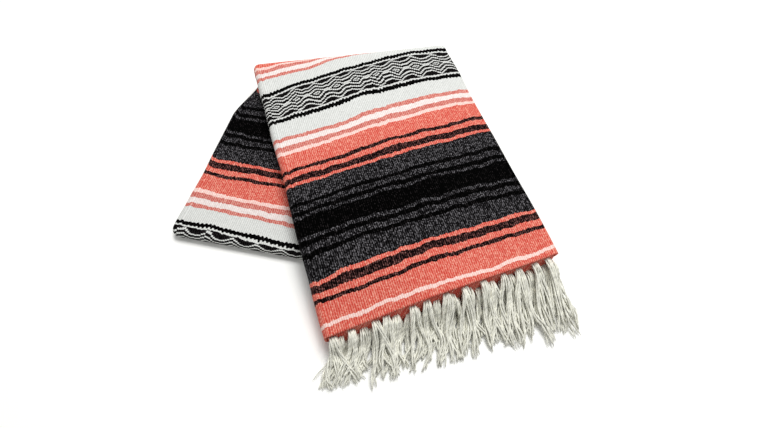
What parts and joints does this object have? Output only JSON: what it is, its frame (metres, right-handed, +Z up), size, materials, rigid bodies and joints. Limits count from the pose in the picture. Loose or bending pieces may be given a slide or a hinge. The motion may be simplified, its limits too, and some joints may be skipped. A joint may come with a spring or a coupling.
{
  "type": "folded falsa blanket",
  "caption": "Striped woven cotton blanket with a fringe, folded to a thick strip and folded over once, lying flat.",
  "frame": {"origin": "on the surface that the folded blanket rests on, under the middle of the pile", "axes": "+Z up from the surface, -Y towards the viewer and the fringe, +X to the right"},
  "size_m": [0.5584, 0.567, 0.059],
  "materials": {
    "layered_cotton": "matte, worn fold and cut edges of layered cloth",
    "upper_cotton": "matte, weft-faced weave with fine ribs",
    "lower_cotton": "matte, weft-faced weave with fine ribs",
    "fringe_yarn": "matte, loosely twisted undyed yarn"
  },
  "bodies": {
    "root": {"inner_layers": "layered_cotton", "upper_stretch": "upper_cotton", "lower_stretch": "lower_cotton", "fringe_row_1": "fringe_yarn", "fringe_row_2": "fringe_yarn", "fringe_row_3": "fringe_yarn", "fringe_row_4": "fringe_yarn"}
  },
  "joints": []
}
